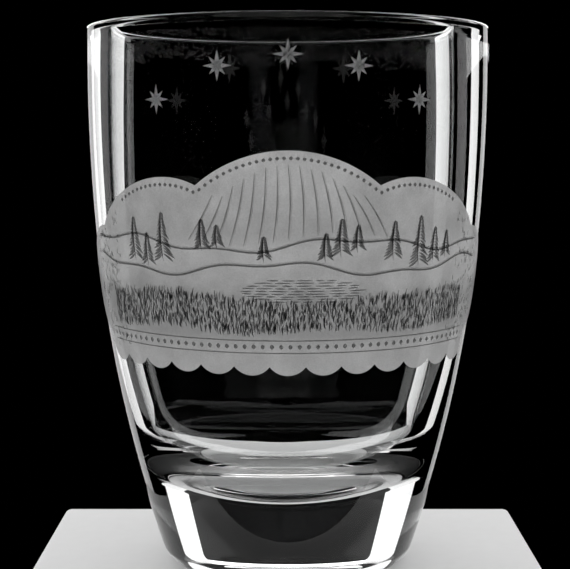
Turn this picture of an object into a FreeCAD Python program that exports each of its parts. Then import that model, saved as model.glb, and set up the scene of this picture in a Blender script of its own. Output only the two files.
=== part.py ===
"""Thick-walled whiskey tumbler: one piece of clear glass, with a matte-ground frieze on its front.

Frame: millimetres, +Z up along the glass's axis, origin at the centre of the foot, -Y towards the decorated front.
"""

import FreeCAD
import Part
import Sketcher
import math
import os

V = FreeCAD.Vector

# Driving dimensions. Drops are depths below the rim, heights are above the foot.
SIZES = {
    # Outer wall: two tangent arcs, widest a little below the rim, then a rounded heel and a flat foot ring.
    "total_height": 108.4,
    "belly_radius": 40.04,
    "belly_drop": 9.2,
    "upper_wall_radius": 375.0,
    "lower_wall_radius": 268.0,
    "waist_drop": 45.8,
    "heel_radius": 6.0,
    "foot_ring_width": 3.6,
    "punt_depth": 1.5,
    # Bowl: two tangent arcs down the wall, a rounded corner and a dished floor.
    "rim_wall": 5.64,
    "bore_drop": 16.0,
    "bowl_upper_radius": 390.0,
    "bowl_lower_radius": 150.0,
    "bowl_bend_drop": 50.0,
    "bowl_corner_radius": 17.0,
    "bowl_floor_radius": 50.0,
    "base_thickness": 16.4,
    # Polished lip.
    "lip_outer_radius": 0.8,
    "lip_inner_radius": 1.4,
    # Matte-ground frieze: a skin of even depth, with hills above, scallops below and rounded ends.
    "frieze_depth": 0.2,
    "frieze_turn": 64.0,
    "frieze_low": 48.6,
    "frieze_high": 70.0,
    "middle_hill_top": 84.4,
    "middle_hill_radius": 25.0,
    "side_hill_top": 79.6,
    "side_hill_radius": 13.0,
    "side_hill_offset": 22.4,
    "scallop_radius": 4.1,
    "scallop_low": 44.0,
    "scallop_step": 10.4,
}
SCALLOPS_EACH_SIDE = 6

doc = FreeCAD.newDocument("tumbler")
sheet = doc.addObject("Spreadsheet::Sheet", "sizes")
for row, (alias, value) in enumerate(SIZES.items(), start=1):
    sheet.set(f"A{row}", alias)
    sheet.set(f"B{row}", str(value))
    sheet.setAlias(f"B{row}", alias)
doc.recompute()


def size(alias):
    """The value of one cell, for first guesses of sketch geometry."""
    return float(sheet.get(alias))


def origin_feature(body, role):
    """The body's own origin plane or axis with this role."""
    return next(item for item in body.Origin.OriginFeatures if item.Role == role)


def new_body(label):
    body = doc.addObject("PartDesign::Body", label)
    body.Label = label
    return body


def new_sketch(body, name, plane="XZ_Plane"):
    sketch = body.newObject("Sketcher::SketchObject", name)
    sketch.AttachmentSupport = (origin_feature(body, plane), [""])
    sketch.MapMode = "FlatFace"
    return sketch


def add_line(sketch, start, end):
    return sketch.addGeometry(Part.LineSegment(V(*start, 0), V(*end, 0)), False)


def add_arc(sketch, centre, radius, start_angle, end_angle):
    """A counter-clockwise arc: angles in radians from the sketch's first axis."""
    circle = Part.Circle(V(*centre, 0), V(0, 0, 1), radius)
    return sketch.addGeometry(Part.ArcOfCircle(circle, start_angle, end_angle), False)


def constrain(sketch, *arguments):
    return sketch.addConstraint(Sketcher.Constraint(*arguments))


def dimension(sketch, name, formula, kind, *arguments):
    """A named dimension of the sketch, bound to the sheet by a formula."""
    index = constrain(sketch, kind, *arguments)
    sketch.renameConstraint(index, name)
    sketch.setExpression(f".Constraints.{name}", formula)


# Point numbers of a sketch element, and the sketch's own origin and axes.
START, END, CENTRE = range(1, 4)
ORIGIN = (-1, 1)
FIRST_AXIS, SECOND_AXIS = range(-1, -3, -1)


def towards(origin, target):
    """The angle of the way from one point to another."""
    return math.atan2(target[1] - origin[1], target[0] - origin[0])


def wall_centres(inset):
    """Centres and radii of the outer wall's two arcs, moved inwards by an inset, and the angle where they meet."""
    upper = size("upper_wall_radius")
    lower = size("lower_wall_radius")
    upper_centre = (size("belly_radius") - upper, size("total_height") - size("belly_drop"))
    meet = -math.asin((size("waist_drop") - size("belly_drop")) / upper)
    shift = upper - lower
    lower_centre = (upper_centre[0] + shift * math.cos(meet), upper_centre[1] + shift * math.sin(meet))
    return upper_centre, upper - inset, lower_centre, lower - inset, meet


def add_wall(sketch, top_angle, bottom_angle, inset=0, inset_formula="0"):
    """The outer wall's two tangent arcs, moved inwards by an inset and bound to the sheet, the upper one first."""
    upper_centre, upper, lower_centre, lower, meet = wall_centres(inset)
    upper_arc = add_arc(sketch, upper_centre, upper, meet, top_angle)
    lower_arc = add_arc(sketch, lower_centre, lower, bottom_angle, meet)
    constrain(sketch, "Tangent", upper_arc, START, lower_arc, END)
    inset_radius = f"(sizes.upper_wall_radius - {inset_formula})"
    dimension(sketch, "upper_radius", inset_radius, "Radius", upper_arc, upper)
    dimension(sketch, "lower_radius", f"sizes.lower_wall_radius - {inset_formula}", "Radius", lower_arc, lower)
    dimension(sketch, "centre_out", "sizes.upper_wall_radius - sizes.belly_radius",
              "DistanceX", upper_arc, CENTRE, *ORIGIN, -upper_centre[0])
    dimension(sketch, "centre_high", "sizes.total_height - sizes.belly_drop",
              "DistanceY", *ORIGIN, upper_arc, CENTRE, upper_centre[1])
    slope = "(sizes.waist_drop - sizes.belly_drop) / sizes.upper_wall_radius"
    dimension(sketch, "waist_high", f"sizes.total_height - sizes.belly_drop - {inset_radius} * {slope}",
              "DistanceY", *ORIGIN, upper_arc, START, upper_centre[1] + upper * math.sin(meet))
    return upper_arc, lower_arc


def revolve(body, sketch, name, kind="PartDesign::Revolution"):
    feature = body.newObject(kind, name)
    feature.Profile = (sketch, [""])
    feature.ReferenceAxis = (sketch, ["V_Axis"])
    feature.Angle = 360
    return feature


# ---- Glass: solid blank with heel, foot ring, punt and the lip's outer edge --------------------------------
glass = new_body("glass_blank")
outline = new_sketch(glass, "outer_outline")
height = size("total_height")
heel = size("heel_radius")
upper_centre, upper, lower_centre, lower, meet = wall_centres(0)
outer_lip = size("lip_outer_radius")
lip_reach = math.sqrt((upper - outer_lip) ** 2 - (height - outer_lip - upper_centre[1]) ** 2)
lip_centre = (upper_centre[0] + lip_reach, height - outer_lip)
top_angle = towards(upper_centre, lip_centre)
heel_reach = math.sqrt((lower - heel) ** 2 - (heel - lower_centre[1]) ** 2)
heel_centre = (lower_centre[0] + heel_reach, heel)
heel_angle = towards(lower_centre, heel_centre)
ring_in = heel_centre[0] - size("foot_ring_width")
punt = size("punt_depth")
punt_radius = (ring_in ** 2 + punt ** 2) / (2 * punt)
punt_centre = (0, punt - punt_radius)

upper_arc, lower_arc = add_wall(outline, top_angle, heel_angle)
heel_arc = add_arc(outline, heel_centre, heel, -math.pi / 2, heel_angle)
foot_line = add_line(outline, (heel_centre[0], 0), (ring_in, 0))
punt_arc = add_arc(outline, punt_centre, punt_radius, towards(punt_centre, (ring_in, 0)), math.pi / 2)
axis_line = add_line(outline, (0, punt), (0, height))
top_line = add_line(outline, (0, height), (lip_centre[0], height))
lip_arc = add_arc(outline, lip_centre, outer_lip, top_angle, math.pi / 2)
constrain(outline, "Tangent", lower_arc, START, heel_arc, END)
constrain(outline, "Tangent", heel_arc, START, foot_line, START)
constrain(outline, "Coincident", foot_line, END, punt_arc, START)
constrain(outline, "Coincident", punt_arc, END, axis_line, START)
constrain(outline, "Coincident", axis_line, END, top_line, START)
constrain(outline, "Tangent", top_line, END, lip_arc, END)
constrain(outline, "Tangent", lip_arc, START, upper_arc, END)
constrain(outline, "PointOnObject", foot_line, START, FIRST_AXIS)
constrain(outline, "PointOnObject", foot_line, END, FIRST_AXIS)
constrain(outline, "PointOnObject", punt_arc, CENTRE, SECOND_AXIS)
constrain(outline, "PointOnObject", axis_line, START, SECOND_AXIS)
constrain(outline, "PointOnObject", axis_line, END, SECOND_AXIS)
constrain(outline, "Horizontal", top_line)
dimension(outline, "heel_size", "sizes.heel_radius", "Radius", heel_arc, heel)
dimension(outline, "ring_size", "sizes.foot_ring_width",
          "DistanceX", foot_line, END, foot_line, START, size("foot_ring_width"))
dimension(outline, "punt_high", "sizes.punt_depth", "DistanceY", *ORIGIN, axis_line, START, punt)
dimension(outline, "rim_high", "sizes.total_height", "DistanceY", *ORIGIN, axis_line, END, height)
dimension(outline, "lip_size", "sizes.lip_outer_radius", "Radius", lip_arc, outer_lip)
revolve(glass, outline, "blank")

# ---- Glass: the bowl and the lip's inner edge --------------------------------------------------------------
bowl = new_sketch(glass, "bowl_outline")
bore = size("belly_radius") - size("rim_wall")
bowl_upper = size("bowl_upper_radius")
bowl_lower = size("bowl_lower_radius")
corner = size("bowl_corner_radius")
floor = size("bowl_floor_radius")
clear_of_rim = 2.0
bowl_upper_centre = (bore - bowl_upper, height - size("bore_drop"))
bend = -math.asin((size("bowl_bend_drop") - size("bore_drop")) / bowl_upper)
shift = bowl_upper - bowl_lower
bowl_lower_centre = (bowl_upper_centre[0] + shift * math.cos(bend), bowl_upper_centre[1] + shift * math.sin(bend))
floor_centre = (0, size("base_thickness") + floor)
inner_lip = size("lip_inner_radius")
mouth_reach = math.sqrt((bowl_upper + inner_lip) ** 2 - (height - inner_lip - bowl_upper_centre[1]) ** 2)
mouth_centre = (bowl_upper_centre[0] + mouth_reach, height - inner_lip)
mouth_angle = towards(bowl_upper_centre, mouth_centre)
# The corner's centre lies where the two arcs that it rounds off, both moved inwards by its radius, cross.
span = math.dist(bowl_lower_centre, floor_centre)
reach = bowl_lower - corner
along = (reach ** 2 - (floor - corner) ** 2 + span ** 2) / (2 * span)
aside = math.sqrt(reach ** 2 - along ** 2)
heading = towards(bowl_lower_centre, floor_centre)
corner_centre = (bowl_lower_centre[0] + along * math.cos(heading) + aside * math.sin(heading),
                 bowl_lower_centre[1] + along * math.sin(heading) - aside * math.cos(heading))
wall_turn = towards(bowl_lower_centre, corner_centre)
floor_turn = towards(floor_centre, corner_centre)

bowl_upper_arc = add_arc(bowl, bowl_upper_centre, bowl_upper, bend, mouth_angle)
bowl_lower_arc = add_arc(bowl, bowl_lower_centre, bowl_lower, wall_turn, bend)
corner_arc = add_arc(bowl, corner_centre, corner, floor_turn, wall_turn)
floor_arc = add_arc(bowl, floor_centre, floor, -math.pi / 2, floor_turn)
bowl_axis = add_line(bowl, (0, size("base_thickness")), (0, height + clear_of_rim))
bowl_top = add_line(bowl, (0, height + clear_of_rim), (mouth_centre[0], height + clear_of_rim))
mouth_line = add_line(bowl, (mouth_centre[0], height + clear_of_rim), (mouth_centre[0], height))
mouth_arc = add_arc(bowl, mouth_centre, inner_lip, math.pi / 2, math.pi + mouth_angle)
constrain(bowl, "Tangent", bowl_upper_arc, START, bowl_lower_arc, END)
constrain(bowl, "Tangent", bowl_lower_arc, START, corner_arc, END)
constrain(bowl, "Tangent", corner_arc, START, floor_arc, END)
constrain(bowl, "Coincident", floor_arc, START, bowl_axis, START)
constrain(bowl, "Coincident", bowl_axis, END, bowl_top, START)
constrain(bowl, "Coincident", bowl_top, END, mouth_line, START)
constrain(bowl, "Coincident", mouth_line, END, mouth_arc, START)
constrain(bowl, "Tangent", mouth_arc, END, bowl_upper_arc, END)
constrain(bowl, "Vertical", mouth_arc, CENTRE, mouth_arc, START)
constrain(bowl, "PointOnObject", floor_arc, CENTRE, SECOND_AXIS)
constrain(bowl, "PointOnObject", bowl_axis, START, SECOND_AXIS)
constrain(bowl, "PointOnObject", bowl_axis, END, SECOND_AXIS)
constrain(bowl, "Horizontal", bowl_top)
constrain(bowl, "Vertical", mouth_line)
dimension(bowl, "upper_size", "sizes.bowl_upper_radius", "Radius", bowl_upper_arc, bowl_upper)
dimension(bowl, "lower_size", "sizes.bowl_lower_radius", "Radius", bowl_lower_arc, bowl_lower)
dimension(bowl, "corner_size", "sizes.bowl_corner_radius", "Radius", corner_arc, corner)
dimension(bowl, "floor_size", "sizes.bowl_floor_radius", "Radius", floor_arc, floor)
dimension(bowl, "bore_out", "sizes.bowl_upper_radius - sizes.belly_radius + sizes.rim_wall",
          "DistanceX", bowl_upper_arc, CENTRE, *ORIGIN, -bowl_upper_centre[0])
dimension(bowl, "bore_high", "sizes.total_height - sizes.bore_drop",
          "DistanceY", *ORIGIN, bowl_upper_arc, CENTRE, bowl_upper_centre[1])
dimension(bowl, "bend_high", "sizes.total_height - sizes.bowl_bend_drop",
          "DistanceY", *ORIGIN, bowl_upper_arc, START, height - size("bowl_bend_drop"))
dimension(bowl, "floor_high", "sizes.base_thickness", "DistanceY", *ORIGIN, bowl_axis, START, size("base_thickness"))
dimension(bowl, "mouth_high", f"sizes.total_height + {clear_of_rim}",
          "DistanceY", *ORIGIN, bowl_axis, END, height + clear_of_rim)
dimension(bowl, "rim_high", "sizes.total_height", "DistanceY", *ORIGIN, mouth_arc, START, height)
dimension(bowl, "mouth_size", "sizes.lip_inner_radius", "Radius", mouth_arc, inner_lip)
revolve(glass, bowl, "hollow", "PartDesign::Groove")
doc.recompute()


# ---- Frieze: what lies outside a surface just under the wall's own, inside an outline of hills and scallops 
cutter = new_body("depth_cutter")
cutter_outline = new_sketch(cutter, "cutter_outline")
depth = size("frieze_depth")
cutter_high = size("middle_hill_top") + clear_of_rim
cutter_low = size("scallop_low") - clear_of_rim
cutter_out = size("belly_radius") + clear_of_rim
upper_centre, upper, lower_centre, lower, meet = wall_centres(depth)
high_angle = math.asin((cutter_high - upper_centre[1]) / upper)
low_angle = math.asin((cutter_low - lower_centre[1]) / lower)
high_in = upper_centre[0] + upper * math.cos(high_angle)
low_in = lower_centre[0] + lower * math.cos(low_angle)

upper_arc, lower_arc = add_wall(cutter_outline, high_angle, low_angle, depth, "sizes.frieze_depth")
cutter_top = add_line(cutter_outline, (high_in, cutter_high), (cutter_out, cutter_high))
cutter_side = add_line(cutter_outline, (cutter_out, cutter_high), (cutter_out, cutter_low))
cutter_bottom = add_line(cutter_outline, (cutter_out, cutter_low), (low_in, cutter_low))
constrain(cutter_outline, "Coincident", upper_arc, END, cutter_top, START)
constrain(cutter_outline, "Coincident", cutter_top, END, cutter_side, START)
constrain(cutter_outline, "Coincident", cutter_side, END, cutter_bottom, START)
constrain(cutter_outline, "Coincident", cutter_bottom, END, lower_arc, START)
constrain(cutter_outline, "Horizontal", cutter_top)
constrain(cutter_outline, "Vertical", cutter_side)
constrain(cutter_outline, "Horizontal", cutter_bottom)
dimension(cutter_outline, "cutter_high", f"sizes.middle_hill_top + {clear_of_rim}",
          "DistanceY", *ORIGIN, cutter_side, START, cutter_high)
dimension(cutter_outline, "cutter_low", f"sizes.scallop_low - {clear_of_rim}",
          "DistanceY", *ORIGIN, cutter_side, END, cutter_low)
dimension(cutter_outline, "cutter_out", f"sizes.belly_radius + {clear_of_rim}",
          "DistanceX", *ORIGIN, cutter_side, START, cutter_out)
revolve(cutter, cutter_outline, "cutter")
doc.recompute()


def primitive(kind, name, **formulas):
    """A Part primitive whose sizes are bound to the sheet."""
    item = doc.addObject(kind, name)
    for key, formula in formulas.items():
        item.setExpression(key, formula)
    return item


def place(item, out, high, turn, aside="0"):
    """Put a primitive at a distance out from the axis and a height, turned about the axis from the front."""
    item.setExpression("Placement", f"create(<<placement>>; create(<<vector>>; ({out}) * sin({turn}) + ({aside});"
                       f" -({out}) * cos({turn}); {high}); create(<<rotation>>; {turn}; 0; 90))")


REACH = "sizes.belly_radius + 5"


def radial_cylinder(name, radius, out, high, turn, aside="0"):
    """A cylinder that lies along the way from the axis out through the wall."""
    cylinder = primitive("Part::Cylinder", name, Radius=radius, Height=REACH)
    place(cylinder, out, high, turn, aside)
    return cylinder


def front_slice(name, low, high):
    """A slice of a disc round the axis, as wide as the frieze between its rounded ends."""
    disc = primitive("Part::Cylinder", name, Radius=REACH, Height=f"{high} - {low}", Angle="2 * sizes.frieze_turn")
    disc.setExpression("Placement", f"create(<<placement>>; create(<<vector>>; 0; 0; {low});"
                       " create(<<rotation>>; -90 - sizes.frieze_turn; 0; 0))")
    return disc


hills = []
for name, side, row in (("left_hill", -1, "side"), ("middle_hill", 0, "middle"), ("right_hill", 1, "side")):
    radius = f"sizes.{row}_hill_radius"
    hills.append(radial_cylinder(name, radius, "0", f"sizes.{row}_hill_top - {radius}", "0",
                                 f"{side} * sizes.side_hill_offset"))
hill_row = doc.addObject("Part::MultiFuse", "hill_row")
hill_row.Shapes = hills
skyline = doc.addObject("Part::MultiCommon", "skyline")
skyline.Shapes = [hill_row, front_slice("above_ground", "sizes.frieze_low", f"sizes.middle_hill_top + {clear_of_rim}")]
scallops = []
for number in range(-SCALLOPS_EACH_SIDE, SCALLOPS_EACH_SIDE + 1):
    scallops.append(radial_cylinder(f"scallop_{number + SCALLOPS_EACH_SIDE + 1}", "sizes.scallop_radius", "0",
                                    "sizes.scallop_low + sizes.scallop_radius", f"{number} * sizes.scallop_step"))
scallop_row = doc.addObject("Part::MultiFuse", "scallop_row")
scallop_row.Shapes = scallops
ends = [radial_cylinder(name, "(sizes.frieze_high - sizes.frieze_low) / 2", "0",
                        "(sizes.frieze_high + sizes.frieze_low) / 2", f"{side} * sizes.frieze_turn")
        for name, side in (("left_end", -1), ("right_end", 1))]
rounded_ends = doc.addObject("Part::MultiFuse", "rounded_ends")
rounded_ends.Shapes = ends
ground = doc.addObject("Part::Fuse", "rounded_ground")
ground.Base = front_slice("ground", "sizes.frieze_low", "sizes.frieze_high")
ground.Tool = rounded_ends
land = doc.addObject("Part::Fuse", "land")
land.Base = ground
land.Tool = skyline
pattern = doc.addObject("Part::Fuse", "frieze_outline")
pattern.Base = land
pattern.Tool = scallop_row
recess = doc.addObject("Part::MultiCommon", "frieze_recess")
recess.Shapes = [cutter, pattern]
frieze = doc.addObject("Part::Common", "frosted_frieze")
frieze.Base = glass
frieze.Tool = recess
frieze.Label = "frosted_frieze"


# ---- Glass: sunk by the frieze's depth, so that the matte skin lies flush ----------------------------------
tumbler = doc.addObject("Part::Cut", "tumbler_body")
tumbler.Base = glass
tumbler.Tool = recess
tumbler.Label = "tumbler_body"
doc.recompute()

# ---- Check every object, then write the sub-parts ----------------------------------------------------------
for item in doc.Objects:
    if "Invalid" in item.State or "Error" in item.State:
        raise RuntimeError(f"{item.Label} failed: {item.State}")
os.makedirs("parts", exist_ok=True)
for sub_part in (tumbler, frieze):
    shape = sub_part.Shape
    if shape.isNull() or not shape.isValid() or not shape.Solids:
        raise RuntimeError(f"{sub_part.Label} has no valid solid")
    shape.exportStep(f"parts/{sub_part.Label}.step")
    print(f"{sub_part.Label}: {len(shape.Solids)} solid, {shape.Volume / 1000:.2f} ml of material")
print(f"bowl holds {(doc.getObject('blank').Shape.Volume - glass.Shape.Volume) / 1000:.0f} ml to the brim")
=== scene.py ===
"""Thick-walled whiskey tumbler: clear glass with wheel-cut stars and a matte-ground landscape frieze.

Lengths are in millimetres and turn into metres where a mesh is made. The add-on's settings are in metres.
The glass stands on the floor at height 0, with its decorated front towards -Y.
"""

import math

import bpy
import numpy as np
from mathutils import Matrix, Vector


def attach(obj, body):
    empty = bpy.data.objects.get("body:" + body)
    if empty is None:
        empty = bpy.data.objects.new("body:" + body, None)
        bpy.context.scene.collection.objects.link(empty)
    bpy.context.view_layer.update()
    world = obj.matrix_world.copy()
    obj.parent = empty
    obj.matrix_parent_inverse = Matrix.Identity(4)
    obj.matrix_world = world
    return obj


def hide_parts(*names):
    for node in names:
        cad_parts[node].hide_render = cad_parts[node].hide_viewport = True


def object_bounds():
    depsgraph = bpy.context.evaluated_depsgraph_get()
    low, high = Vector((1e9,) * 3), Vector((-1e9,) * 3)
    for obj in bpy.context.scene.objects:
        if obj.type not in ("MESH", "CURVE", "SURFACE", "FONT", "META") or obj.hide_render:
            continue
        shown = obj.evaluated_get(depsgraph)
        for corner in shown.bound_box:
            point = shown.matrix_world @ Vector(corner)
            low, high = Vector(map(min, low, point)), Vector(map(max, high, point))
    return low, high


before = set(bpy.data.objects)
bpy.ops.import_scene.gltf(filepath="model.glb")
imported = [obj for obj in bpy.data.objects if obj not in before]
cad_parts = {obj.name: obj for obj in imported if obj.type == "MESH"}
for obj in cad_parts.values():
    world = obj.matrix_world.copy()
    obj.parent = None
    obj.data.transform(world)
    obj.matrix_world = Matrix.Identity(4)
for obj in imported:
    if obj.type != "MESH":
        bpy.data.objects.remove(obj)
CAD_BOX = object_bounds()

bl_info = {
    "name": "Engraved whiskey tumbler",
    "version": (1, 0, 0),
    "blender": (4, 5, 0),
    "location": "View3D > Sidebar > Tumbler",
    "description": "Builds a thick-walled glass tumbler with cut stars and a frosted landscape frieze",
    "category": "Object",
}

MM = 0.001
HEIGHT = CAD_BOX[1].z / MM

# Outer wall: two tangent arcs, a rounded heel and a foot ring round a shallow punt.
BELLY_RADIUS = 40.04
BELLY_DROP = 9.2
UPPER_WALL = 375.0
LOWER_WALL = 268.0
WAIST_DROP = 45.8
HEEL = 6.0
FOOT_RING = 3.6
PUNT = 1.5
# Bowl: two tangent arcs, a rounded corner and a dished floor.
RIM_WALL = 5.64
BORE_DROP = 16.0
BOWL_UPPER = 390.0
BOWL_LOWER = 150.0
BOWL_BEND_DROP = 50.0
BOWL_CORNER = 17.0
BOWL_FLOOR = 50.0
BASE = 16.4
LIP_OUTER = 0.8
LIP_INNER = 1.4
# Steps round the axis in which the glass is turned.
SEGMENTS = 288
# Stars: they stand in an arch over the frieze, and every other ray is short.
STAR_RAYS = 8
STARS_EACH_SIDE = 2
STAR_STEP = math.radians(18)
STAR_HIGH = 101
STAR_SAG = 1.9
SHORT_RAY = 0.78
# Frieze: three hills over a band of ground with rounded ends and scallops below.
GROUND_LOW = 48.6
GROUND_HIGH = 70.0
END_RADIUS = (GROUND_HIGH - GROUND_LOW) / 2
GROUND_MIDDLE = GROUND_LOW + END_RADIUS
MIDDLE_HILL = (0.0, 84.4, 25.0)
SIDE_HILL = (22.4, 79.6, 13.0)
SCALLOP = 4.1
SCALLOP_LOW = 44.0
SCALLOP_STEP = math.radians(10.4)
SCALLOPS_EACH_SIDE = 6
END_TURN = math.radians(64)
# How far the matte skin stands proud of the wall, and how far it reaches in.
FROST_PROUD = 0.03
FROST_DEPTH = 0.12
# Sections of wheel cuts and engraved strokes: how far the edges stand proud of the wall and the crest above
# them, then how deep the keel lies below the edges.
STAR_CUT = ((0.09, 0.12), 0.36)
LINE_CUT = ((0.045, 0.02), 0.05)
BEAD_CUT = ((0.045, 0.03), 0.05)
SPRIG_CUT = ((0.05, 0.03), 0.05)
# Distances along the wall are taken at this radius.
WALL_MEAN = 38.0


# ---- Shape of the glass -----------------------------------------------------------------------------------

def towards(origin, target):
    """The angle of the way from one point of the profile to another."""
    return math.atan2(target[1] - origin[1], target[0] - origin[0])


def arc(centre, radius, start, end, pace):
    """Points of the profile along an arc, about a pace apart."""
    steps = max(3, round(abs(end - start) * radius / pace))
    return [(centre[0] + radius * math.cos(turn), centre[1] + radius * math.sin(turn))
            for turn in np.linspace(start, end, steps + 1)]


UPPER_CENTRE = (BELLY_RADIUS - UPPER_WALL, HEIGHT - BELLY_DROP)
WAIST_ANGLE = -math.asin((WAIST_DROP - BELLY_DROP) / UPPER_WALL)
LOWER_CENTRE = (UPPER_CENTRE[0] + (UPPER_WALL - LOWER_WALL) * math.cos(WAIST_ANGLE),
                UPPER_CENTRE[1] + (UPPER_WALL - LOWER_WALL) * math.sin(WAIST_ANGLE))


def outside_profile():
    """The punt, foot ring, heel, wall and outer lip, from the axis outwards and up."""
    heel_reach = math.sqrt((LOWER_WALL - HEEL) ** 2 - (HEEL - LOWER_CENTRE[1]) ** 2)
    heel_centre = (LOWER_CENTRE[0] + heel_reach, HEEL)
    heel_angle = towards(LOWER_CENTRE, heel_centre)
    ring_in = heel_centre[0] - FOOT_RING
    punt_radius = (ring_in ** 2 + PUNT ** 2) / (2 * PUNT)
    punt_centre = (0, PUNT - punt_radius)
    lip_reach = math.sqrt((UPPER_WALL - LIP_OUTER) ** 2 - (HEIGHT - LIP_OUTER - UPPER_CENTRE[1]) ** 2)
    lip_centre = (UPPER_CENTRE[0] + lip_reach, HEIGHT - LIP_OUTER)
    lip_angle = towards(UPPER_CENTRE, lip_centre)
    ring = [(ring_in + share * FOOT_RING, 0) for share in (0.08, 0.5, 0.92)]
    return (arc(punt_centre, punt_radius, math.pi / 2, towards(punt_centre, (ring_in, 0)), 1.2)
            + ring
            + arc(heel_centre, HEEL, -math.pi / 2, heel_angle, 0.35)
            + arc(LOWER_CENTRE, LOWER_WALL, heel_angle, WAIST_ANGLE, 0.9)[1:]
            + arc(UPPER_CENTRE, UPPER_WALL, WAIST_ANGLE, lip_angle, 0.9)[1:]
            + arc(lip_centre, LIP_OUTER, lip_angle, math.pi / 2, 0.1)[1:])


def bowl_profile():
    """The inner lip, the bowl's wall, its corner and its floor, from the rim down to the axis."""
    upper_centre = (BELLY_RADIUS - RIM_WALL - BOWL_UPPER, HEIGHT - BORE_DROP)
    bend = -math.asin((BOWL_BEND_DROP - BORE_DROP) / BOWL_UPPER)
    shift = BOWL_UPPER - BOWL_LOWER
    lower_centre = (upper_centre[0] + shift * math.cos(bend), upper_centre[1] + shift * math.sin(bend))
    floor_centre = (0, BASE + BOWL_FLOOR)
    span = math.dist(lower_centre, floor_centre)
    reach = BOWL_LOWER - BOWL_CORNER
    along = (reach ** 2 - (BOWL_FLOOR - BOWL_CORNER) ** 2 + span ** 2) / (2 * span)
    aside = math.sqrt(reach ** 2 - along ** 2)
    heading = towards(lower_centre, floor_centre)
    corner_centre = (lower_centre[0] + along * math.cos(heading) + aside * math.sin(heading),
                     lower_centre[1] + along * math.sin(heading) - aside * math.cos(heading))
    wall_turn = towards(lower_centre, corner_centre)
    floor_turn = towards(floor_centre, corner_centre)
    lip_reach = math.sqrt((BOWL_UPPER + LIP_INNER) ** 2 - (HEIGHT - LIP_INNER - upper_centre[1]) ** 2)
    lip_centre = (upper_centre[0] + lip_reach, HEIGHT - LIP_INNER)
    lip_angle = towards(upper_centre, lip_centre)
    return (arc(lip_centre, LIP_INNER, math.pi / 2, math.pi + lip_angle, 0.15)
            + arc(upper_centre, BOWL_UPPER, lip_angle, bend, 0.9)[1:]
            + arc(lower_centre, BOWL_LOWER, bend, wall_turn, 0.7)[1:]
            + arc(corner_centre, BOWL_CORNER, wall_turn, floor_turn, 0.4)[1:]
            + arc(floor_centre, BOWL_FLOOR, floor_turn, -math.pi / 2, 0.9)[1:])


def on_wall(turn, high, proud=0.0):
    """Points of the outer wall in metres, from their turn away from the front and their height."""
    upper = high >= HEIGHT - WAIST_DROP
    radius = np.where(upper, UPPER_WALL, LOWER_WALL)
    centre_out = np.where(upper, UPPER_CENTRE[0], LOWER_CENTRE[0])
    centre_high = np.where(upper, UPPER_CENTRE[1], LOWER_CENTRE[1])
    slope = np.arcsin((high - centre_high) / radius)
    out = centre_out + (radius + proud) * np.cos(slope)
    up = centre_high + (radius + proud) * np.sin(slope)
    return np.stack((out * np.sin(turn), -out * np.cos(turn), up), axis=-1) * MM


def wall_radius(high):
    """The outer wall's radius at a height."""
    return np.hypot(*np.moveaxis(on_wall(0.0, np.asarray(high, float))[..., :2], -1, 0)) / MM


def lathe(outside, bowl, bore_shift, ripple):
    """Points and faces of the turned glass. The bowl is moved aside and rippled, as blown glass is."""
    turns = np.linspace(0, 2 * np.pi, SEGMENTS, endpoint=False)
    rings = []
    for out, high in outside[1:]:
        rings.append(np.stack((out * np.cos(turns), out * np.sin(turns), np.full(SEGMENTS, high)), axis=-1))
    for out, high in bowl[:-1]:
        calm = min(1.0, (HEIGHT - high) / 12) * min(1.0, out / 30) ** 2
        wave = (np.sin(2 * turns + 0.04 * high) + 0.6 * np.sin(5 * turns - 0.09 * high + 1)
                + 0.35 * np.sin(11 * turns + 0.13 * high + 2))
        swell = out + ripple * calm * wave
        rings.append(np.stack((swell * np.cos(turns) + bore_shift, swell * np.sin(turns),
                               np.full(SEGMENTS, high)), axis=-1))
    points = np.concatenate([[[0, 0, outside[0][1]]], *rings, [[bore_shift, 0, bowl[-1][1]]]]) * MM
    faces = []
    steps = [(step, (step + 1) % SEGMENTS) for step in range(SEGMENTS)]
    last = len(points) - 1
    for here, ahead in steps:
        faces.append((0, 1 + ahead, 1 + here))
    for ring in range(len(rings) - 1):
        near = 1 + ring * SEGMENTS
        far = near + SEGMENTS
        for here, ahead in steps:
            faces.append((near + here, near + ahead, far + ahead, far + here))
    near = 1 + (len(rings) - 1) * SEGMENTS
    for here, ahead in steps:
        faces.append((near + here, near + ahead, last))
    return points, faces


# ---- Shapes on the wall -----------------------------------------------------------------------------------

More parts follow.
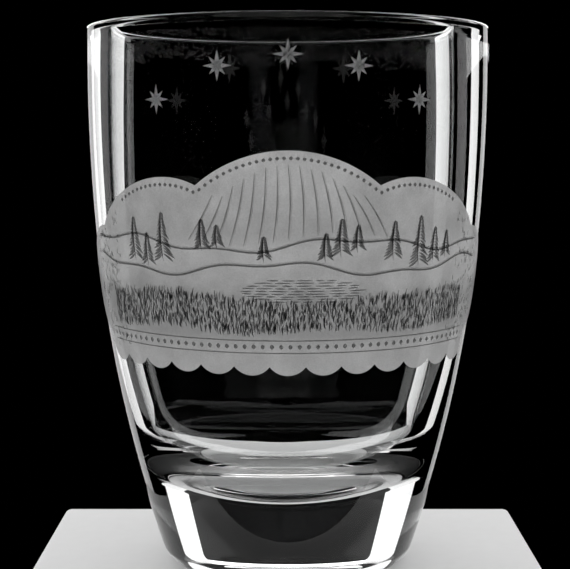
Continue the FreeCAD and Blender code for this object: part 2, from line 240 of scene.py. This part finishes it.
def slivers(paths, half_widths, over, under):
    """Closed slivers along paths on the wall, diamond in section and pointed at both ends.

    A path is a row of (distance round the wall, height); half widths are given for its inner points only.
    Over holds how far the edges stand proud of the wall and the crest above them, under how deep the keel is.
    """
    paths = np.asarray(paths, float)
    count, stations = paths.shape[:2]
    inner = stations - 2
    ahead = paths[:, 2:] - paths[:, :-2]
    ahead /= np.linalg.norm(ahead, axis=-1, keepdims=True)
    aside = np.stack((-ahead[..., 1], ahead[..., 0]), axis=-1) * np.asarray(half_widths)[..., None]
    middle = paths[:, 1:-1]
    shape = np.broadcast_to(np.asarray(half_widths, float), middle.shape[:2])
    full = np.maximum(shape.max(axis=1, keepdims=True), 1e-6)
    edge_proud, crest = over
    section = np.stack((
        on_wall((middle + aside)[..., 0] / WALL_MEAN, (middle + aside)[..., 1], edge_proud),
        on_wall(middle[..., 0] / WALL_MEAN, middle[..., 1], edge_proud + crest * shape / full),
        on_wall((middle - aside)[..., 0] / WALL_MEAN, (middle - aside)[..., 1], edge_proud),
        on_wall(middle[..., 0] / WALL_MEAN, middle[..., 1], edge_proud - under * shape / full),
    ), axis=2)
    ends = on_wall(paths[:, [0, -1], 0] / WALL_MEAN, paths[:, [0, -1], 1], edge_proud)
    points = np.concatenate((ends, section.reshape(count, inner * 4, 3)), axis=1)
    pattern = []
    for side in range(4):
        beside = (side + 1) % 4
        pattern.append((0, 2 + side, 2 + beside))
        pattern.append((1, 2 + (inner - 1) * 4 + beside, 2 + (inner - 1) * 4 + side))
        for station in range(inner - 1):
            near, far = 2 + station * 4, 2 + (station + 1) * 4
            pattern.append((near + side, far + side, far + beside, near + beside))
    size = 2 + inner * 4
    faces = [tuple(number * size + corner for corner in face)
             for number in range(count) for face in pattern]
    return points.reshape(-1, 3), faces


def leaf(share):
    """Half width of a wheel cut along its length, as a share of the widest."""
    return np.sin(np.pi * np.clip(share, 0, 1)) ** 0.8


def wedge(share):
    """Half width of a star's ray, which is widest near the middle of the star and runs out to a point."""
    return np.clip(np.minimum(share / 0.22, (1 - share) / 0.78), 0, 1)


def strokes(starts, ends, half_width, bend=0.0, stations=6, blunt=0.0, shape=leaf):
    """Paths and half widths of strokes between pairs of points."""
    starts, ends = np.asarray(starts, float), np.asarray(ends, float)
    share = np.linspace(0, 1, stations)
    way = ends - starts
    aside = np.stack((-way[:, 1], way[:, 0]), axis=-1)
    paths = starts[:, None] + way[:, None] * share[None, :, None]
    paths = paths + aside[:, None] * (bend * np.sin(np.pi * share))[None, :, None]
    widths = np.maximum(shape(share[1:-1]), blunt) * np.broadcast_to(half_width, (len(starts),))[:, None]
    return paths, widths


def merged(parts):
    """One set of points and faces from several."""
    points, faces, offset = [], [], 0
    for some_points, some_faces in parts:
        points.append(some_points)
        faces.extend(tuple(corner + offset for corner in face) for face in some_faces)
        offset += len(some_points)
    return np.concatenate(points), faces


def mesh_of(name, points, faces):
    mesh = bpy.data.meshes.new(name)
    mesh.from_pydata(points.tolist(), [], faces)
    mesh.update()
    mesh.shade_smooth()
    return mesh


def add_piece(name, points, faces, material, slot):
    """A piece of the tumbler that rides with it, with the material it is given. The slot is not used."""
    mesh = mesh_of(name, points, faces)
    mesh.materials.append(material)
    piece = bpy.data.objects.new(name, mesh)
    bpy.context.scene.collection.objects.link(piece)
    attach(piece, "root")
    return piece


def land_top(turn, high):
    """Height of the frieze's upper edge between its rounded ends: the hills, and the ground beside them."""
    across = wall_radius(high) * np.sin(turn)
    tops = [np.full_like(across, GROUND_HIGH)]
    for side, (offset, top, radius) in ((0, MIDDLE_HILL), (-1, SIDE_HILL), (1, SIDE_HILL)):
        within = radius ** 2 - (across - side * offset) ** 2
        tops.append(np.where(within > 0, top - radius + np.sqrt(np.maximum(within, 0)), 0))
    return np.maximum.reduce(tops)


def land_edges(turn):
    """Heights of the frieze's lower and upper edges at turns away from the front."""
    high = np.full_like(turn, GROUND_HIGH)
    for _ in range(6):
        high = land_top(turn, high)
    scallops = np.full_like(turn, np.inf)
    for number in range(-SCALLOPS_EACH_SIDE, SCALLOPS_EACH_SIDE + 1):
        across = wall_radius(SCALLOP_LOW + SCALLOP / 2) * np.sin(turn - number * SCALLOP_STEP)
        within = SCALLOP ** 2 - across ** 2
        drop = SCALLOP_LOW + SCALLOP - np.sqrt(np.maximum(within, 0))
        scallops = np.where(within > 0, np.minimum(scallops, drop), scallops)
    past = wall_radius(GROUND_MIDDLE) * np.sin(np.maximum(np.abs(turn) - END_TURN, 0))
    round_end = np.sqrt(np.maximum(END_RADIUS ** 2 - past ** 2, 0))
    outside = np.abs(turn) > END_TURN
    high = np.where(outside, GROUND_MIDDLE + round_end, high)
    low = np.where(outside, GROUND_MIDDLE - round_end, GROUND_LOW)
    return np.minimum(low, scallops), high


# ---- Materials --------------------------------------------------------------------------------------------

class Tap:
    """A number that leaves a socket. Arithmetic on it adds Math nodes."""

    def __init__(self, recipe, socket):
        self.recipe = recipe
        self.socket = socket

    def maths(self, operation, *values):
        return self.recipe.node("ShaderNodeMath", {"operation": operation}, dict(enumerate(values)))

    def __add__(self, other):
        return self.maths("ADD", self, other)

    def __sub__(self, other):
        return self.maths("SUBTRACT", self, other)

    def __rsub__(self, other):
        return self.maths("SUBTRACT", other, self)

    def __mul__(self, other):
        return self.maths("MULTIPLY", self, other)

    def __truediv__(self, other):
        return self.maths("DIVIDE", self, other)

    def __gt__(self, other):
        return self.maths("GREATER_THAN", self, other)

    def __lt__(self, other):
        return self.maths("LESS_THAN", self, other)

    __radd__ = __add__
    __rmul__ = __mul__


class Recipe:
    """A node tree that is filled from nothing."""

    def __init__(self, tree):
        self.tree = tree
        tree.nodes.clear()

    def node(self, kind, settings=None, values=None, output=0):
        """Adds a node with its settings and the values or links of its sockets, and returns one output."""
        added = self.tree.nodes.new(kind)
        for key, setting in (settings or {}).items():
            if key == "stops":
                ramp = added.color_ramp
                while len(ramp.elements) < len(setting):
                    ramp.elements.new(0.5)
                for element, (position, colour) in zip(ramp.elements, setting):
                    element.position = position
                    element.color = colour
            else:
                setattr(added, key, setting)
        for key, value in (values or {}).items():
            if isinstance(value, Tap):
                self.tree.links.new(value.socket, added.inputs[key])
            else:
                added.inputs[key].default_value = value
        return Tap(self, added.outputs[output]) if added.outputs else None

    def place(self):
        """Positions on the piece itself, in metres."""
        return self.node("ShaderNodeTexCoord", output="Object")

    def height(self):
        """Height on the piece, in millimetres."""
        return self.node("ShaderNodeSeparateXYZ", values={0: self.place()}, output="Z") / MM

    def noise(self, pitch, detail=2.0, roughness=0.5):
        """Noise whose grains are about a pitch of millimetres apart."""
        return self.node("ShaderNodeTexNoise", {"normalize": True},
                         {"Vector": self.place(), "Scale": 1 / (pitch * MM), "Detail": detail,
                          "Roughness": roughness})

    def ramp(self, factor, stops):
        return self.node("ShaderNodeValToRGB", {"stops": stops}, {"Fac": factor})

    def bump(self, height, depth, strength=1.0):
        """A normal bent by a height from 0 to 1 that stands for a depth in millimetres."""
        return self.node("ShaderNodeBump",
                         values={"Height": height, "Distance": depth * MM, "Strength": strength})

    def surface(self, shader):
        self.node("ShaderNodeOutputMaterial", values={"Surface": shader})


def grey(level):
    return (level, level, level, 1.0)


def new_material(name):
    material = bpy.data.materials.new(name)
    material.use_nodes = True
    return material, Recipe(material.node_tree)


def clear_glass(look):
    """Fire-polished glass: faint ripples from blowing, and fine scuffs where the foot stands."""
    material, recipe = new_material("clear_glass")
    high = recipe.height()
    scuffs = (recipe.noise(0.25, 3.0, 0.7) * 0.5 + 0.1) * (high < 0.35)
    ripples = recipe.noise(14.0, 1.0, 0.4)
    recipe.surface(recipe.node("ShaderNodeBsdfPrincipled", values={
        "Base Color": (*look.glass_tint, 1.0),
        "Roughness": scuffs,
        "IOR": 1.52,
        "Transmission Weight": 1.0,
        "Normal": recipe.bump(ripples, look.ripple_depth / MM),
    }))
    return material


def lit_both_ways(recipe, solid, level):
    """A matte skin on glass: a share of what is seen is light from behind that comes through."""
    from_behind = 0.4
    through = recipe.node("ShaderNodeBsdfTranslucent", values={"Color": grey(level)})
    return recipe.node("ShaderNodeMixShader", values={0: from_behind, 1: solid, 2: through})


def ground_glass(name, level, spread, cover, grain, shading=()):
    """Matte wheel-ground glass of a grey level, nearly opaque, with a fine grain and cloudy unevenness.

    Shading is a row of (height in millimetres, share of the level), for a skin ground deeper in places.
    """
    material, recipe = new_material(name)
    specks = recipe.noise(grain, 2.0, 0.6)
    clouds = recipe.noise(6.0, 3.0, 0.6)
    tone = specks * 0.6 + clouds * 0.4
    shade = recipe.ramp(tone, [(0.3, grey(level - spread)), (0.7, grey(level + spread))])
    if shading:
        uneven = recipe.height() + clouds * 5 - 2.5
        depth = recipe.ramp(uneven / HEIGHT, [(high / HEIGHT, grey(share)) for high, share in shading])
        shade = recipe.node("ShaderNodeMix", {"data_type": "RGBA", "blend_type": "MULTIPLY"},
                            {0: 1.0, 6: shade, 7: depth}, output=2)
    front = 1 - recipe.node("ShaderNodeNewGeometry", output="Backfacing")
    solid = recipe.node("ShaderNodeBsdfPrincipled", values={
        "Base Color": shade,
        "Roughness": specks * 0.3 + 0.6,
        "Normal": recipe.bump(specks, 0.03, 0.6),
    })
    clear = recipe.node("ShaderNodeBsdfTransparent")
    recipe.surface(recipe.node("ShaderNodeMixShader", values={
        0: front * (clouds * 0.16 + (cover - 0.08)), 1: clear, 2: lit_both_ways(recipe, solid, level)}))
    return material


def cut_facet(level):
    """The facets of a wheel cut: half polished, with a fine speckled grain."""
    material, recipe = new_material("cut_facet")
    specks = recipe.noise(0.18, 2.0, 0.6)
    shade = recipe.ramp(specks, [(0.3, grey(level * 0.7)), (0.7, grey(level * 1.2))])
    solid = recipe.node("ShaderNodeBsdfPrincipled", values={
        "Base Color": shade,
        "Roughness": specks * 0.3 + 0.25,
        "Normal": recipe.bump(specks, 0.02, 0.5),
    })
    recipe.surface(lit_both_ways(recipe, solid, level))
    return material


# ---- Settings ---------------------------------------------------------------------------------------------

class TumblerGlassSettings(bpy.types.PropertyGroup):
    """Sizes and colours of the blown glass and its cut stars."""
    bore_shift: bpy.props.FloatProperty(
        name="Bore shift", description="How far the bowl lies off the middle", default=-0.0007,
        unit="LENGTH", precision=5)
    ripple: bpy.props.FloatProperty(
        name="Bore ripple", description="Unevenness of the bowl's wall", default=0.000004,
        unit="LENGTH", precision=6)
    ripple_depth: bpy.props.FloatProperty(
        name="Surface ripple", description="Depth of the faint waves in the polished surface",
        default=0.000008, unit="LENGTH", precision=6)
    glass_tint: bpy.props.FloatVectorProperty(
        name="Glass tint", description="Colour of the clear glass", default=(0.98, 0.985, 0.985),
        subtype="COLOR", min=0, max=1)
    star_ray: bpy.props.FloatProperty(
        name="Star ray", description="Length of a star's long rays", default=0.0034,
        unit="LENGTH", precision=4)
    star_width: bpy.props.FloatProperty(
        name="Star ray width", description="Sets how wide the rays are", default=0.00092,
        unit="LENGTH", precision=5)
    star_tone: bpy.props.FloatProperty(
        name="Star tone", description="Brightness of the cut facets", default=0.85, min=0, max=1)


class TumblerFriezeSettings(bpy.types.PropertyGroup):
    """Tones of the frosted landscape."""
    frost_tone: bpy.props.FloatProperty(
        name="Frost tone", description="Brightness of the matte ground", default=0.62, min=0, max=1)
    frost_cover: bpy.props.FloatProperty(
        name="Frost cover", description="How far the matte ground hides what is behind it", default=0.93,
        min=0, max=1)
    line_tone: bpy.props.FloatProperty(
        name="Line tone", description="Brightness of the polished lines in the frost", default=0.29,
        min=0, max=1)
    # This tone colours the painted highlight lines on the hills and, a little darker, the bush leaves.
    highlight_and_leaf_tone: bpy.props.FloatProperty(
        name="Light line tone", description="Brightness of the freshly cut lines", default=0.95,
        min=0, max=1)


class TumblerStageSettings(bpy.types.PropertyGroup):
    """Size and tone of the floor, and brightness of the lamps."""
    floor_tone: bpy.props.FloatProperty(
        name="Floor tone", description="Brightness of the pale floor", default=0.75, min=0, max=1)
    floor_half: bpy.props.FloatProperty(
        name="Floor half width", description="How far the floor reaches to each side", default=0.052,
        unit="LENGTH", precision=4)
    floor_back: bpy.props.FloatProperty(
        name="Floor behind", description="How far the floor reaches behind the glass's axis", default=0.038,
        unit="LENGTH", precision=4)
    floor_front: bpy.props.FloatProperty(
        name="Floor in front", description="How far the floor reaches in front of the glass's axis",
        default=0.038, unit="LENGTH", precision=4)
    strip_power: bpy.props.FloatProperty(
        name="Strip light", description="Brightness of the strips' upper halves", default=1.25, min=0)
    low_strip_power: bpy.props.FloatProperty(
        name="Low strip light", description="Brightness of the strips' lower halves", default=1.1, min=0)
    sky_level: bpy.props.FloatProperty(
        name="Soft light", description="Brightness of the even light all round", default=0.85, min=0)
    back_power: bpy.props.FloatProperty(
        name="Back light", description="Brightness of the raised lamp behind the glass", default=2.5, min=0)


# ---- Pieces -----------------------------------------------------------------------------------------------

class TUMBLER_OT_blow_glass(bpy.types.Operator):
    """Turn the clear glass and cut its five stars"""
    bl_idname = "tumbler.blow_glass"
    bl_label = "Blow Glass"

    def execute(self, context):
        look = context.scene.tumbler_glass
        points, faces = lathe(outside_profile(), bowl_profile(), look.bore_shift / MM, look.ripple / MM)
        glass = add_piece("clear_tumbler", points, faces, clear_glass(look), "clear_glass")
        glass.data.materials.append(cut_facet(look.star_tone))
        cutters = []
        ray = look.star_ray / MM
        half = look.star_width / MM / 2
        for number in range(STAR_RAYS):
            heading = 2 * math.pi / STAR_RAYS * number
            reach = ray * (1.0 if number % 2 == 0 else SHORT_RAY)
            starts, ends = [], []
            for place in range(-STARS_EACH_SIDE, STARS_EACH_SIDE + 1):
                turn = STAR_STEP * place
                high = STAR_HIGH - STAR_SAG * place ** 2
                stretch = WALL_MEAN / float(wall_radius(high))
                centre = np.array((turn * WALL_MEAN, high))
                way = np.array((math.sin(heading) * stretch, math.cos(heading)))
                starts.append(centre - way * 0.12)
                ends.append(centre + way * reach)
            paths, widths = strokes(starts, ends, half * 1.3, stations=10, shape=wedge)
            star_points, star_faces = slivers(paths, widths, *STAR_CUT)
            cutter_mesh = mesh_of(f"star_rays_{number + 1}", star_points, star_faces)
            # The second material slot is the glass's own for cut facets.
            cutter_mesh.materials.append(None)
            cutter_mesh.materials.append(None)
            cutter_mesh.polygons.foreach_set("material_index", np.ones(len(cutter_mesh.polygons), np.int32))
            cutter = bpy.data.objects.new(f"star_rays_{number + 1}", cutter_mesh)
            context.scene.collection.objects.link(cutter)
            cut = glass.modifiers.new(f"rays_{number + 1}", "BOOLEAN")
            cut.operation = "DIFFERENCE"
            cut.solver = "MANIFOLD"
            cut.object = cutter
            cutters.append(cutter)
        context.view_layer.update()
        carved = bpy.data.meshes.new_from_object(glass.evaluated_get(context.evaluated_depsgraph_get()))
        if len(carved.vertices) <= len(points):
            raise RuntimeError("the stars weren't cut")
        carved.set_sharp_from_angle(angle=math.radians(22))
        glass.modifiers.clear()
        glass.data = carved
        for cutter in cutters:
            bpy.data.objects.remove(cutter)
        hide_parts("tumbler_body")
        return {"FINISHED"}


class TUMBLER_OT_frost_land(bpy.types.Operator):
    """Grind the matte ground of the frieze"""
    bl_idname = "tumbler.frost_land"
    bl_label = "Frost Land"

    def execute(self, context):
        look = context.scene.tumbler_frieze
        rows, middle_columns, end_columns = 36, 521, 41
        end_width = math.asin(END_RADIUS / float(wall_radius(GROUND_MIDDLE)))
        middle = np.linspace(-END_TURN, END_TURN, middle_columns)
        tail = END_TURN + end_width * np.sin(np.linspace(0, np.pi / 2, end_columns))[1:]
        turns = np.concatenate((-tail[::-1], middle, tail))
        low, high = land_edges(turns)
        share = np.linspace(0, 1, rows)[:, None]
        heights = low + (high - low) * share
        face = on_wall(np.broadcast_to(turns, heights.shape), heights, FROST_PROUD)
        back = on_wall(np.broadcast_to(turns, heights.shape), heights, -FROST_DEPTH)
        columns = len(turns)
        points = np.concatenate((face.reshape(-1, 3), back.reshape(-1, 3)))
        behind = rows * columns
        faces = []
        for row in range(rows - 1):
            for column in range(columns - 1):
                here = row * columns + column
                square = (here, here + 1, here + columns + 1, here + columns)
                faces.append(square)
                faces.append(tuple(corner + behind for corner in reversed(square)))
        for column in range(columns - 1):
            top = (rows - 1) * columns + column
            faces.append((column + 1, column, column + behind, column + 1 + behind))
            faces.append((top, top + 1, top + 1 + behind, top + behind))
        for row in range(rows - 1):
            left, right = row * columns, (row + 1) * columns - 1
            faces.append((left, left + columns, left + columns + behind, left + behind))
            faces.append((right + columns, right, right + behind, right + columns + behind))
        frost = ground_glass("matte_ground", look.frost_tone, 0.16, look.frost_cover, 0.26,
                             ((44, 0.95), (49.5, 0.86), (51.5, 0.66), (58, 0.62), (61, 0.9), (67, 1.0),
                              (70, 0.82), (84, 1.1)))
        land = add_piece("frosted_land", points, faces, frost, "frosted_glass")
        land.data.set_sharp_from_angle(angle=math.radians(40))
        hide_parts("frosted_frieze")
        return {"FINISHED"}


class TUMBLER_OT_engrave_hills(bpy.types.Operator):
    """Engrave the ridges, furrows and the dotted edge of the hills, with painted highlights: lighter lines
    beside the furrows and just above the ridges
    """
    bl_idname = "tumbler.engrave_hills"
    bl_label = "Engrave Hills"

    def execute(self, context):
        look = context.scene.tumbler_frieze
        # The light list holds painted highlights, lighter lines that sit beside the dark furrows and ridge
        # lines.
        dark, light = [], []
        for number in range(-7, 8):
            along = number * 2.6
            _, crest = land_edges(np.array([along / WALL_MEAN]))
            foot = 68.5 + 1.2 * math.sin(along / 6)
            if crest[0] - 1.6 > foot + 2:
                furrow = strokes([(along * 0.72, crest[0] - 2.2)], [(along, foot)], 0.09, 0.03, 12, 0.6)
                dark.append(slivers(*furrow, *LINE_CUT))
                # Beside each furrow, a lighter line is a painted highlight.
                gleam = strokes([(along * 0.72 + 0.25, crest[0] - 2.3)], [(along + 0.3, foot)],
                                0.1, 0.03, 12, 0.6)
                light.append(slivers(*gleam, *LINE_CUT))
        around = np.arange(-34, 34.1, 1.15)
        _, crests = land_edges(around / WALL_MEAN)
        for along, crest in zip(around, crests):
            dot = strokes([(along, crest - 1.7)], [(along, crest - 1.0)], 0.3, 0, 7, 0.55)
            dark.append(slivers(*dot, *BEAD_CUT))
        for level, tilt in ((67.6, 0.0), (63.4, 1.9)):
            along = np.linspace(-46, 46, 60)
            ridge = level + 1.1 * np.sin(along / 7 + tilt) + 0.5 * np.sin(along / 2.7)
            line = np.stack((along, ridge), axis=-1)
            # Each ridge gets a dark line and, just above it, a lighter copy that is a painted highlight.
            for lift, half, group in ((0.0, 0.15, dark), (0.3, 0.12, light)):
                group.append(slivers([line + (0, lift)], np.full((1, len(line) - 2), half), *LINE_CUT))
        polished = ground_glass("polished_line", look.line_tone, 0.05, 0.9, 0.15)
        add_piece("hill_lines", *merged(dark), polished, "frosted_glass")
        # The painted highlights are drawn in a pale matte tone.
        highlight_and_leaf_glass = ground_glass("painted_highlight_line", look.highlight_and_leaf_tone, 0.1, 0.95, 0.15)
        add_piece("hill_highlights", *merged(light), highlight_and_leaf_glass, "frosted_glass")
        return {"FINISHED"}


class TUMBLER_OT_engrave_firs(bpy.types.Operator):
    """Engrave the firs on the foothills and the bushes at both ends"""
    bl_idname = "tumbler.engrave_firs"
    bl_label = "Engrave Firs"

    def execute(self, context):
        look = context.scene.tumbler_frieze
        chance = np.random.default_rng(11)
        starts, ends, halves = [], [], []
        # Each fir's distance round the wall, the height of its foot, and how tall it is.
        for along, foot, tall in ((-31, 64.0, 8.6), (-27.6, 63.2, 6.6), (-23.8, 64.2, 9.4),
                                  (-15.5, 66.4, 6.2), (-12.6, 66.8, 4.8), (-4.2, 64.6, 5.0),
                                  (6.6, 64.6, 5.6), (9.4, 65.4, 7.4), (12.4, 66.2, 5.4), (19.6, 64.6, 7.6),
                                  (25.4, 63.2, 9.8), (29.2, 63.6, 7.2), (32.6, 64.4, 5.6)):
            starts.append((along, foot))
            ends.append((along, foot + tall))
            halves.append(0.16)
            tiers = int(tall / 0.62)
            for tier in range(tiers):
                high = foot + 1.0 + (tall - 1.4) * tier / tiers
                spread = tall * 0.24 * (1 - tier / tiers) + 0.3
                for side in (-1, 1):
                    starts.append((along, high + 0.55))
                    ends.append((along + side * spread * chance.uniform(0.85, 1.1), high - 0.35 * spread))
                    halves.append(0.2)
        branches = strokes(starts, ends, np.array(halves), 0.05, 6, 0.25)
        polished = ground_glass("polished_leaf", look.line_tone * 1.15, 0.06, 0.9, 0.15)
        add_piece("firs", *slivers(*branches, *SPRIG_CUT), polished, "frosted_glass")
        starts, ends = [], []
        for side in (-1, 1):
            for _ in range(150):
                along = side * chance.uniform(36, 48.5)
                low, high = land_edges(np.array([along / WALL_MEAN]))
                up = chance.uniform(low[0] + 2.5, high[0] - 1.6)
                lean = chance.uniform(-0.9, 0.9)
                starts.append((along, up))
                ends.append((along + lean, up + chance.uniform(0.7, 1.3)))
        leaves = strokes(starts, ends, 0.2, 0.1, 6)
        # The bush leaves share the painted highlights' tone, a little darker.
        highlight_and_leaf_glass = ground_glass("fresh_leaf", look.highlight_and_leaf_tone * 0.9, 0.1, 0.9, 0.15)
        add_piece("bush_leaves", *slivers(*leaves, *SPRIG_CUT), highlight_and_leaf_glass, "frosted_glass")
        return {"FINISHED"}


class TUMBLER_OT_engrave_meadow(bpy.types.Operator):
    """Engrave the meadow's grass, the lake's ripples and the beaded lower border"""
    bl_idname = "tumbler.engrave_meadow"
    bl_label = "Engrave Meadow"

    def execute(self, context):
        look = context.scene.tumbler_frieze
        chance = np.random.default_rng(5)
        count = 2600
        along = chance.uniform(-40, 40, count)
        high = chance.uniform(51.6, 58.2, count) + 0.5 * np.sin(along / 5)
        lean = chance.uniform(-0.3, 0.3, count)
        tall = chance.uniform(0.8, 1.7, count)
        ashore = ((along - 3) / 13) ** 2 + ((high - 59.5) / 2.6) ** 2 > 1.15
        starts = np.stack((along, high), axis=-1)[ashore]
        ends = np.stack((along + lean, high + tall), axis=-1)[ashore]
        grass = slivers(*strokes(starts, ends, 0.1, 0.08, 5), *LINE_CUT)
        starts, ends = [], []
        for row in range(9):
            level = 57.6 + row * 0.48
            reach = 11.5 * math.sqrt(max(0.0, 1 - ((level - 59.5) / 2.4) ** 2))
            spot = 3 - reach
            while spot < 3 + reach - 1:
                length = chance.uniform(1.4, 4.2)
                starts.append((spot, level + chance.uniform(-0.06, 0.06)))
                ends.append((min(spot + length, 3 + reach), level + chance.uniform(-0.06, 0.06)))
                spot += length + chance.uniform(0.1, 0.6)
        ripples = slivers(*strokes(starts, ends, 0.11, 0.0, 6, 0.4), *LINE_CUT)
        around = np.arange(-42.5, 42.6, 1.72)
        beads = strokes(np.stack((around, np.full_like(around, 48.9)), axis=-1),
                        np.stack((around, np.full_like(around, 49.8)), axis=-1), 0.36, 0.0, 8, 0.5)
        border = [slivers(*beads, *BEAD_CUT)]
        along = np.linspace(-43, 43, 90)
        for level in (50.5, 48.2):
            line = np.stack((along, np.full_like(along, level)), axis=-1)
            border.append(slivers([line], np.full((1, len(line) - 2), 0.09), *LINE_CUT))
        polished = ground_glass("polished_grass", look.line_tone * 1.1, 0.06, 0.85, 0.15)
        add_piece("meadow", *merged([grass, ripples, *border]), polished, "frosted_glass")
        return {"FINISHED"}


# ---- Stage ------------------------------------------------------------------------------------------------

# The floor lies just under the foot. Its edges are rounded.
FLOOR_GAP = 0.05
FLOOR_DEPTH = 4.0
FLOOR_EDGE = 1.5
# Lamps stand this far, in metres, from a point on the axis at this height.
LAMP_DISTANCE = 0.5
AIM_HEIGHT = 0.06
# The camera stands in front and looks down a little, by an angle in radians.
CAMERA_ASIDE = -0.5
CAMERA_AWAY = 285.6
CAMERA_BELOW_RIM = 21.36
CAMERA_DOWN = 0.10567


def soft_lamp(name, turn, rise, size, power, lift=0.0):
    """A soft lamp turned from the back of the glass and raised, in degrees, then lifted by metres.

    The size is in metres, and the power is the brightness of its face.
    """
    turn, rise = math.radians(turn), math.radians(rise)
    level = LAMP_DISTANCE * math.cos(rise)
    lamp = bpy.data.lights.new(name, "AREA")
    lamp.shape = "RECTANGLE"
    lamp.size, lamp.size_y = size
    lamp.energy = power * math.pi * size[0] * size[1]
    holder = bpy.data.objects.new(name, lamp)
    holder.location = (level * math.sin(turn), level * math.cos(turn),
                       AIM_HEIGHT + lift + LAMP_DISTANCE * math.sin(rise))
    holder.rotation_euler = (math.pi / 2 - rise, 0, math.pi - turn)
    holder.visible_camera = False
    bpy.context.scene.collection.objects.link(holder)


class TUMBLER_OT_set_stage(bpy.types.Operator):
    """Set the pale floor, the dark surroundings, the lamps and the camera"""
    bl_idname = "tumbler.set_stage"
    bl_label = "Set Stage"

    def execute(self, context):
        look = context.scene.tumbler_stage
        half, back, front = look.floor_half, look.floor_back, -look.floor_front
        corners = [(-half, front), (half, front), (half, back), (-half, back)]
        points = np.array([(x, y, -depth * MM) for depth in (FLOOR_GAP, FLOOR_DEPTH) for x, y in corners])
        faces = [(0, 1, 2, 3), (7, 6, 5, 4), (0, 4, 5, 1), (1, 5, 6, 2), (2, 6, 7, 3), (3, 7, 4, 0)]
        mesh = bpy.data.meshes.new("floor")
        mesh.from_pydata(points.tolist(), [], faces)
        material, recipe = new_material("pale_floor")
        fleck = recipe.noise(3.0, 3.0)
        recipe.surface(recipe.node("ShaderNodeBsdfPrincipled", values={
            "Base Color": recipe.ramp(fleck, [(0.2, grey(look.floor_tone * 0.97)),
                                              (0.8, grey(look.floor_tone))]),
            "Roughness": fleck * 0.1 + 0.7,
            "Specular IOR Level": 0.2,
        }))
        mesh.materials.append(material)
        floor = bpy.data.objects.new("floor", mesh)
        context.scene.collection.objects.link(floor)
        rounding = floor.modifiers.new("rounding", "BEVEL")
        rounding.width = FLOOR_EDGE * MM
        rounding.segments = 4

        # Strips behind the glass light its edges and base against the dark.
        for side, turn, width in (("left", -34.5, 0.149), ("right", 33, 0.11)):
            soft_lamp(f"{side}_strip", turn, 0, (width, 1.0), look.strip_power, lift=0.45)
            soft_lamp(f"{side}_low_strip", turn, 0, (width, 1.0), look.low_strip_power, lift=-0.55)
        soft_lamp("back", 0, 20, (0.5, 0.15), look.back_power)

        # What is seen straight or through the glass is dark; matte surfaces are lit from all round.
        world = bpy.data.worlds.new("studio")
        context.scene.world = world
        world.use_nodes = True
        recipe = Recipe(world.node_tree)
        seen = recipe.node("ShaderNodeLightPath", output="Is Camera Ray")
        seen = seen + recipe.node("ShaderNodeLightPath", output="Is Glossy Ray")
        seen = seen + recipe.node("ShaderNodeLightPath", output="Is Transmission Ray")
        straight = recipe.node("ShaderNodeLightPath", output="Diffuse Depth") < 0.5
        level = (1 - (seen > 0.5) * straight) * look.sky_level
        backdrop = recipe.node("ShaderNodeBackground", values={"Color": grey(1.0), "Strength": level})
        recipe.node("ShaderNodeOutputWorld", values={"Surface": backdrop})

        camera = bpy.data.cameras.new("camera")
        camera.lens = 88.87
        camera.sensor_width = 36.0
        camera.clip_start = 0.01
        holder = bpy.data.objects.new("camera", camera)
        holder.location = (CAMERA_ASIDE * MM, -CAMERA_AWAY * MM, (HEIGHT - CAMERA_BELOW_RIM) * MM)
        holder.rotation_euler = (math.pi / 2 - CAMERA_DOWN, 0, 0)
        context.scene.collection.objects.link(holder)
        context.scene.camera = holder
        context.scene.view_settings.view_transform = "Standard"
        return {"FINISHED"}


STEPS = (
    TUMBLER_OT_blow_glass,
    TUMBLER_OT_frost_land,
    TUMBLER_OT_engrave_hills,
    TUMBLER_OT_engrave_firs,
    TUMBLER_OT_engrave_meadow,
    TUMBLER_OT_set_stage,
)


class TUMBLER_PT_steps(bpy.types.Panel):
    """Sizes, tones and steps of the tumbler"""
    bl_idname = "TUMBLER_PT_steps"
    bl_label = "Tumbler"
    bl_space_type = "VIEW_3D"
    bl_region_type = "UI"
    bl_category = "Tumbler"

    def draw(self, context):
        layout = self.layout
        scene = context.scene
        for settings in (scene.tumbler_glass, scene.tumbler_frieze, scene.tumbler_stage):
            column = layout.column()
            for name in settings.__annotations__:
                column.prop(settings, name)
        for step in STEPS:
            layout.operator(step.bl_idname)


CLASSES = (TumblerGlassSettings, TumblerFriezeSettings, TumblerStageSettings, *STEPS, TUMBLER_PT_steps)


def register():
    for each in CLASSES:
        bpy.utils.register_class(each)
    bpy.types.Scene.tumbler_glass = bpy.props.PointerProperty(type=TumblerGlassSettings)
    bpy.types.Scene.tumbler_frieze = bpy.props.PointerProperty(type=TumblerFriezeSettings)
    bpy.types.Scene.tumbler_stage = bpy.props.PointerProperty(type=TumblerStageSettings)


def unregister():
    del bpy.types.Scene.tumbler_stage
    del bpy.types.Scene.tumbler_frieze
    del bpy.types.Scene.tumbler_glass
    for each in reversed(CLASSES):
        bpy.utils.unregister_class(each)


def main():
    register()
    bpy.ops.tumbler.blow_glass()
    bpy.ops.tumbler.frost_land()
    bpy.ops.tumbler.engrave_hills()
    bpy.ops.tumbler.engrave_firs()
    bpy.ops.tumbler.engrave_meadow()
    bpy.ops.tumbler.set_stage()


if __name__ == "__main__":
    main()
